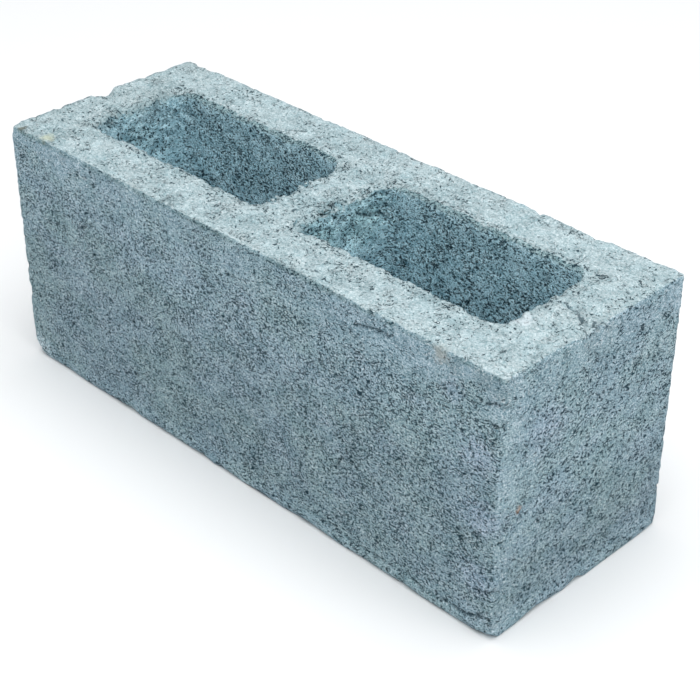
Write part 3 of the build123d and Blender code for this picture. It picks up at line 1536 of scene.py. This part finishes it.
@dataclass
class Studio:
    """The floor, the lights and the camera."""

    floor_size: float = 8.0
    floor_colour: Colour = (0.90, 0.90, 0.90)
    floor_roughness: float = 0.9
    floor_specular: float = 0.1
    sky_strength: float = 0.45
    sky_colour: Colour = (0.93, 0.97, 1.0)
    softboxes: Sequence[Softbox] = (
        Softbox("softbox_top", Vector((0.2, -0.2, 2.2)), 2.4, 52),
        Softbox("softbox_right", Vector((2.2, 0.2, 1.3)), 1.6, 12),
    )
    light_aim: Vector = Vector((0, 0, 0.08))
    camera_place: Vector = Vector((0.5954, -0.5659, 0.5808))
    camera_aim: Vector = Vector((0.0369, -0.0134, 0.08))
    lens_mm: float = 85.9
    sensor_mm: float = 36

    def build(self) -> None:
        """Sets up the whole studio."""
        self.lay_floor()
        self.light_sky()
        for softbox in self.softboxes:
            self.hang_light(softbox)
        self.set_camera()

    def lay_floor(self) -> None:
        """Lays a plain pale floor under the block."""
        deselect_everything()
        bpy.ops.mesh.primitive_plane_add(size=self.floor_size, location=(0, 0, 0))
        floor = bpy.context.object
        floor.name = "floor"
        board = Board("floor_paint")
        shader = board.add("ShaderNodeBsdfPrincipled", {
            "Base Color": (*self.floor_colour, 1), "Roughness": self.floor_roughness,
            "Specular IOR Level": self.floor_specular,
        })
        board.add("ShaderNodeOutputMaterial", {"Surface": shader.outputs["BSDF"]})
        floor.data.materials.append(board.material)

    def light_sky(self) -> None:
        """Fills the room with even light."""
        world = bpy.data.worlds.new("room")
        world.use_nodes = True
        background = world.node_tree.nodes["Background"]
        background.inputs["Color"].default_value = (*self.sky_colour, 1)
        background.inputs["Strength"].default_value = self.sky_strength
        bpy.context.scene.world = world

    def place_in_scene(self, data: bpy.types.ID, place: Vector, aim: Vector) -> bpy.types.Object:
        """Puts a light or a camera in the scene.

        Args:
            data: the light or the camera.
            place: where it stands.
            aim: the point that it faces.

        Returns:
            Its object.
        """
        thing = bpy.data.objects.new(data.name, data)
        bpy.context.scene.collection.objects.link(thing)
        thing.location = place
        thing.rotation_euler = (aim - place).to_track_quat("-Z", "Y").to_euler()
        return thing

    def hang_light(self, softbox: Softbox) -> None:
        """Hangs a softbox that faces the block.

        Args:
            softbox: the light to hang.
        """
        data = bpy.data.lights.new(softbox.name, "AREA")
        data.size = softbox.size
        data.energy = softbox.power
        self.place_in_scene(data, softbox.place, self.light_aim)

    def set_camera(self) -> None:
        """Sets the camera at the photograph's angle."""
        data = bpy.data.cameras.new("camera")
        data.lens = self.lens_mm
        data.sensor_width = self.sensor_mm
        bpy.context.scene.camera = self.place_in_scene(data, self.camera_place, self.camera_aim)
        bpy.context.scene.view_settings.view_transform = "Standard"


@dataclass(frozen=True)
class Weathering:
    """What age has done to the block: its relief, its cracks and pocks, and its stains, with painted light
    and shade among its smears.

    low, high: the block's lowest and highest corners.
    """

    low: Vector
    high: Vector

    @property
    def front(self) -> Face:
        """The front, measured along the block and upwards."""
        return Face(Vector((0, self.low.y, 0)), TO_RIGHT, UPWARD, TO_FRONT, TO_RIGHT)

    @property
    def right_end(self) -> Face:
        """The right end, measured from front to back and upwards."""
        return Face(Vector((self.high.x, 0, 0)), TO_BACK, UPWARD, TO_RIGHT, UPWARD)

    @property
    def top(self) -> Face:
        """The top bed, measured along the block and from front to back."""
        return Face(Vector((0, 0, self.high.z)), TO_RIGHT, TO_BACK, UPWARD, TO_RIGHT)

    @staticmethod
    def reliefs() -> list[Relief]:
        """Lists the layers of unevenness of the whole surface and of each zone.

        Returns:
            The reliefs, in the order in which they are pressed.
        """
        return [
            Relief("sag", 45 * MM, 0.3 * MM, 0.25, 0.75),
            Relief("lumps", 6 * MM, 0.32 * MM, 0.30, 0.62, octaves=2),
            Relief("pits", 4.5 * MM, 1.1 * MM, 0.20, 0.32),
            Relief("bed_flakes", 7 * MM, 1.0 * MM, 0.36, 0.56, Zone.TOP_BED, octaves=2),
            Relief("web_flakes", 9 * MM, 1.0 * MM, 0.38, 0.56, Zone.WEB, octaves=2),
            Relief("arris_wear", 4 * MM, 0.3 * MM, 0.30, 0.58, Zone.OUTER_ARRIS, octaves=2),
            Relief("arris_chips", 13 * MM, 1.0 * MM, 0.26, 0.34, Zone.OUTER_ARRIS, octaves=3),
            Relief("foot_wear", 25 * MM, 0.8 * MM, 0.40, 1.00, Zone.FRONT_FOOT, octaves=2),
            Relief("foot_crumbs", 8 * MM, 2.0 * MM, 0.30, 0.50, Zone.FRONT_FOOT, octaves=2),
            Relief("mouth_wear", 7 * MM, 1.1 * MM, 0.32, 0.62, Zone.CORE_MOUTH, octaves=2),
            Relief("cobbles", 7 * MM, 2.0 * MM, 0.02, 0.30, Zone.CRUMBLED, Basis.COBBLE),
            Relief("crack_groove", 3 * MM, 3.0 * MM, 0.36, 0.68, Zone.CRACK),
        ]

    def cracks(self) -> list[Crack]:
        """Lists the cracks on the outer faces and the core walls.

        Returns:
            The cracks.
        """
        front, top, right_end = self.front, self.top, self.right_end
        web_wall = [Vector((0.0175, 0.013, 0.1485)), Vector((0.0175, 0.0221, 0.1434)),
                    Vector((0.0178, 0.0324, 0.1424))]
        left_wall_top = [Vector((-0.160, -0.021, 0.155)), Vector((-0.160, -0.018, 0.156))]
        left_wall = [Vector((-0.1595, -0.0004, 0.139)), Vector((-0.1595, 0.0048, 0.136))]
        return [
            front.crack(2.6, (0.060, 0.012), (0.100, 0.009), (0.128, 0.010)),
            front.crack(3.4, (0.1356, 0.0126), (0.140, 0.0104), (0.1458, 0.0071)),
            front.crack(4.6, (0.1535, 0.0078), (0.1607, 0.0084), (0.167, 0.0092), (0.1745, 0.0087),
                        (0.1814, 0.0105), (0.186, 0.014), (0.192, 0.0135)),
            front.crack(2.4, (0.1819, 0.0284), (0.1878, 0.030), (0.1943, 0.033)),
            front.crack(3.4, (0.1831, 0.1426), (0.1861, 0.1426), (0.1897, 0.1447), (0.1922, 0.1442),
                        (0.1941, 0.1431)),
            front.crack(3.0, (0.098, 0.148), (0.110, 0.150), (0.1225, 0.152)),
            front.crack(3.0, (0.0901, 0.0666), (0.0946, 0.0624), (0.0983, 0.0591)),
            front.crack(2.8, (0.0817, 0.0524), (0.0879, 0.0615)),
            top.crack(5.2, (0.1675, 0.007), (0.1708, 0.0035), (0.1751, 0.0042), (0.1811, 0.0004),
                      (0.1878, -0.0031), (0.1911, -0.0021), (0.1912, 0.0031), (0.1948, 0.0053)),
            top.crack(2.8, (-0.0072, -0.0014), (-0.0071, 0.0038), (-0.0026, 0.0049), (0.004, 0.0046)),
            top.crack(2.8, (0.0027, -0.0251), (0.0051, -0.0162), (0.0092, -0.0088), (0.0137, -0.0009)),
            right_end.crack(4.6, (-0.0023, 0.1575), (0.0005, 0.1580)),
            right_end.crack(3.6, (-0.0026, 0.1550), (-0.0016, 0.1550)),
            Crack(web_wall, TO_RIGHT, 5.0 * MM),
            Crack(left_wall_top, TO_RIGHT, 4.0 * MM),
            Crack(left_wall, TO_RIGHT, 4.0 * MM),
        ]

    def pocks(self) -> list[Crack]:
        """Lists the pocks on the outer faces.

        Returns:
            The pocks, each a short crack.
        """
        places = (
            (self.top, (
                (0.1787, 0.0384), (0.1673, 0.0152), (-0.1197, -0.0619), (-0.1071, -0.0579),
                (0.0425, -0.049), (0.0604, -0.0602), (-0.1774, -0.0429),
            )),
            (self.right_end, (
                (0.0098, 0.134), (0.0002, 0.1387), (-0.0217, 0.0935), (0.0109, 0.1051),
                (-0.0675, 0.1328),
            )),
            (self.front, (
                (-0.1296, 0.1503), (-0.1231, 0.150), (-0.1163, 0.147), (-0.1334, 0.1339),
                (-0.1054, 0.1235), (-0.0398, 0.0086), (-0.0270, 0.0100), (-0.0011, 0.0125),
                (0.0093, 0.0144), (0.0468, 0.0098), (0.0558, 0.0098), (0.1873, 0.1324),
                (0.1905, 0.1320), (0.1956, 0.1342),
            )),
        )
        return [face.pock(*place) for face, spots in places for place in spots]

    def stains(self) -> list[Stain]:
        """Lists the stains over the grain.

        Returns:
            The stains.
        """
        front, top, right_end = self.front, self.top, self.right_end
        return [
            Stain(top.at(-0.1849, -0.0669), 5 * MM, (0.10, 0.105, 0.07), 0.8),
            Stain(top.at(-0.1638, -0.0645), 8 * MM, (0.52, 0.56, 0.42), 0.7),
            Stain(Vector((-0.1605, -0.0695, 0.159)), 2.5 * MM, (0.10, 0.14, 0.13), 0.8),
            Stain(front.at(0.1546, 0.1563), 9 * MM, (0.38, 0.36, 0.30), 0.5),
            Stain(right_end.at(-0.0536, 0.077), 4.5 * MM, (0.36, 0.17, 0.07), 0.8),
            Stain(top.at(0.1646, -0.0223), 10 * MM, (0.68, 0.76, 0.80), 0.8),
        ]

    def smears(self) -> list[Stain]:
        """Lists the soft tints under the grain, some of them painted light and shade.

        Returns:
            The tints.
        """
        front, top, right_end = self.front, self.top, self.right_end
        lilac, dun, painted_foot_light = (0.29, 0.425, 0.53), (0.17, 0.28, 0.32), (0.48, 0.67, 0.74)
        teal, core_top_without_painted_light = (0.41, 0.70, 0.76), (0.23, 0.39, 0.45)
        return [
            Stain(front.at(0.181, 0.112), 20 * MM, lilac, 0.8),
            Stain(front.at(0.184, 0.075), 20 * MM, lilac, 0.8),
            Stain(front.at(0.184, 0.035), 20 * MM, lilac, 0.8),
            Stain(front.at(0.163, 0.140), 14 * MM, lilac, 0.6),
            Stain(front.at(0.182, 0.155), 13 * MM, dun, 0.7),
            Stain(front.at(0.193, 0.150), 12 * MM, dun, 0.7),
            Stain(front.at(0.164, 0.1535), 11 * MM, dun, 0.6),
            Stain(front.at(-0.010, 0.030), 32 * MM, dun, 0.4),
            Stain(front.at(0.020, 0.050), 28 * MM, dun, 0.4),
            Stain(front.at(0.005, 0.118), 32 * MM, lilac, 0.35),
            # Painted light on the worn left foot corner, whose faces turn down into shade
            Stain(front.at(-0.188, 0.006), 18 * MM, painted_foot_light, 0.9),
            Stain(right_end.at(-0.038, 0.116), 26 * MM, lilac, 0.6),
            # The next two are painted shadow under the spall on the right top arris
            Stain(right_end.at(0.008, 0.155), 9 * MM, dun, 0.6),
            Stain(right_end.at(-0.006, 0.151), 13 * MM, dun, 0.7),
            Stain(right_end.at(0.033, 0.008), 14 * MM, dun, 0.5),
            # Greener patches on the core walls, as pale as the cores' painted light
            Stain(Vector((0.018, -0.016, 0.142)), 28 * MM, teal, 0.8),
            Stain(Vector((0.018, 0.016, 0.142)), 28 * MM, teal, 0.8),
            Stain(Vector((-0.160, 0.0, 0.140)), 24 * MM, teal, 0.3),
            # The cores' painted light taken back off the tops of their walls, by the left end and the web
            Stain(top.at(-0.158, -0.024), 26 * MM, core_top_without_painted_light, 0.9),
            Stain(top.at(-0.158, 0.008), 26 * MM, core_top_without_painted_light, 0.8),
            Stain(Vector((0.020, -0.032, 0.156)), 15 * MM, core_top_without_painted_light, 0.9),
        ]


def main() -> None:
    """Builds the block and the studio."""
    logging.basicConfig(level=logging.INFO, format="%(name)s: %(message)s")
    low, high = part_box(NODE)
    wear = Weathering(low, high)
    block = CoredBlock(low, high, reliefs=wear.reliefs(), cracks=[*wear.cracks(), *wear.pocks()])
    piece = block.build()
    finish = WeatheredConcrete(smears=wear.smears(), stains=wear.stains())
    piece.data.materials.clear()
    piece.data.materials.append(finish.material())
    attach(piece, BODY)
    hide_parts(NODE)
    log.info("block done: %d faces", len(piece.data.polygons))
    Studio().build()
    log.info("studio done")


if __name__ == "__main__":
    main()
